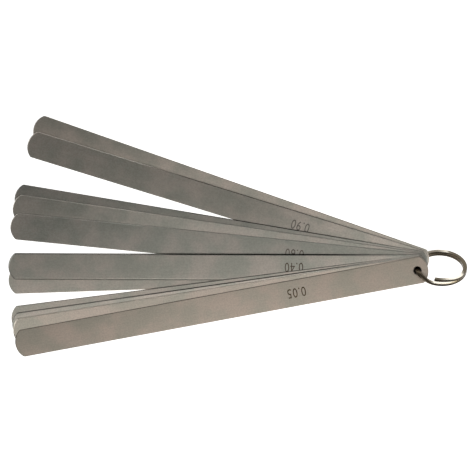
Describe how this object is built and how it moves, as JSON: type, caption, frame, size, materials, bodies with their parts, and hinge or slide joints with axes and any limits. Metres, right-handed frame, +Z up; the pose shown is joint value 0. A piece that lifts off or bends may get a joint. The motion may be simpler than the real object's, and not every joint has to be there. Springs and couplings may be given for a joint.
{
  "type": "feeler gauge",
  "caption": "Fan of long straight steel feeler leaves of graded thickness, hung through end holes on a small split ring so that each one swings out on its own.",
  "frame": {"origin": "on the bench surface, under the middle of the tool's bounding box, as it lies fanned out on its ring and leaf tips", "axes": "+X along the leaves from their tips towards the ring, +Y across the fan towards the thickest leaf, +Z up from the bench"},
  "size_m": [0.2188, 0.1152, 0.0212],
  "materials": {
    "leaf_steel": "fine ground spring steel, satin, lightly oiled",
    "ring_steel": "nickel-plated spring wire, bright"
  },
  "bodies": {
    "ring": {"split_ring": "ring_steel"},
    "leaf_0_05": {"leaf_0_05mm": "leaf_steel"},
    "leaf_0_10": {"leaf_0_10mm": "leaf_steel"},
    "leaf_0_15": {"leaf_0_15mm": "leaf_steel"},
    "leaf_0_20": {"leaf_0_20mm": "leaf_steel"},
    "leaf_0_25": {"leaf_0_25mm": "leaf_steel"},
    "leaf_0_30": {"leaf_0_30mm": "leaf_steel"},
    "leaf_0_40": {"leaf_0_40mm": "leaf_steel"},
    "leaf_0_50": {"leaf_0_50mm": "leaf_steel"},
    "leaf_0_60": {"leaf_0_60mm": "leaf_steel"},
    "leaf_0_70": {"leaf_0_70mm": "leaf_steel"},
    "leaf_0_80": {"leaf_0_80mm": "leaf_steel"},
    "leaf_0_90": {"leaf_0_90mm": "leaf_steel"},
    "leaf_1_00": {"leaf_1_00mm": "leaf_steel"}
  },
  "joints": [
    {"name": "swing_0_05mm", "type": "hinge", "parent": "ring", "child": "leaf_0_05", "pos_m": [0.08543, -0.01713, 0.01217], "axis": [-0.0485, -0.0545, 0.9973], "range_deg": [-170, 145]},
    {"name": "swing_0_10mm", "type": "hinge", "parent": "ring", "child": "leaf_0_10", "pos_m": [0.08539, -0.01702, 0.01205], "axis": [-0.0485, -0.0545, 0.9973], "range_deg": [-170, 145]},
    {"name": "swing_0_15mm", "type": "hinge", "parent": "ring", "child": "leaf_0_15", "pos_m": [0.08535, -0.01688, 0.01188], "axis": [-0.0485, -0.0545, 0.9973], "range_deg": [-169, 146]},
    {"name": "swing_0_20mm", "type": "hinge", "parent": "ring", "child": "leaf_0_20", "pos_m": [0.0853, -0.01669, 0.01166], "axis": [-0.0485, -0.0545, 0.9973], "range_deg": [-169, 146]},
    {"name": "swing_0_25mm", "type": "hinge", "parent": "ring", "child": "leaf_0_25", "pos_m": [0.08525, -0.01646, 0.01139], "axis": [-0.0485, -0.0545, 0.9973], "range_deg": [-168, 147]},
    {"name": "swing_0_30mm", "type": "hinge", "parent": "ring", "child": "leaf_0_30", "pos_m": [0.08521, -0.01619, 0.01108], "axis": [-0.0485, -0.0545, 0.9973], "range_deg": [-167, 148]},
    {"name": "swing_0_40mm", "type": "hinge", "parent": "ring", "child": "leaf_0_40", "pos_m": [0.08518, -0.01585, 0.0107], "axis": [-0.0485, -0.0545, 0.9973], "range_deg": [-160, 156]},
    {"name": "swing_0_50mm", "type": "hinge", "parent": "ring", "child": "leaf_0_50", "pos_m": [0.08517, -0.01544, 0.01022], "axis": [-0.0485, -0.0545, 0.9973], "range_deg": [-162, 154]},
    {"name": "swing_0_60mm", "type": "hinge", "parent": "ring", "child": "leaf_0_60", "pos_m": [0.08521, -0.01494, 0.00964], "axis": [-0.0485, -0.0545, 0.9973], "range_deg": [-154, 161]},
    {"name": "swing_0_70mm", "type": "hinge", "parent": "ring", "child": "leaf_0_70", "pos_m": [0.08532, -0.01435, 0.00898], "axis": [-0.0485, -0.0545, 0.9973], "range_deg": [-151, 164]},
    {"name": "swing_0_80mm", "type": "hinge", "parent": "ring", "child": "leaf_0_80", "pos_m": [0.08552, -0.01368, 0.00822], "axis": [-0.0485, -0.0545, 0.9973], "range_deg": [-150, 165]},
    {"name": "swing_0_90mm", "type": "hinge", "parent": "ring", "child": "leaf_0_90", "pos_m": [0.08587, -0.01293, 0.00738], "axis": [-0.0485, -0.0545, 0.9973], "range_deg": [-141, 172]},
    {"name": "swing_1_00mm", "type": "hinge", "parent": "ring", "child": "leaf_1_00", "pos_m": [0.0864, -0.0121, 0.00645], "axis": [-0.0485, -0.0545, 0.9973], "range_deg": [-138, 173]}
  ]
}
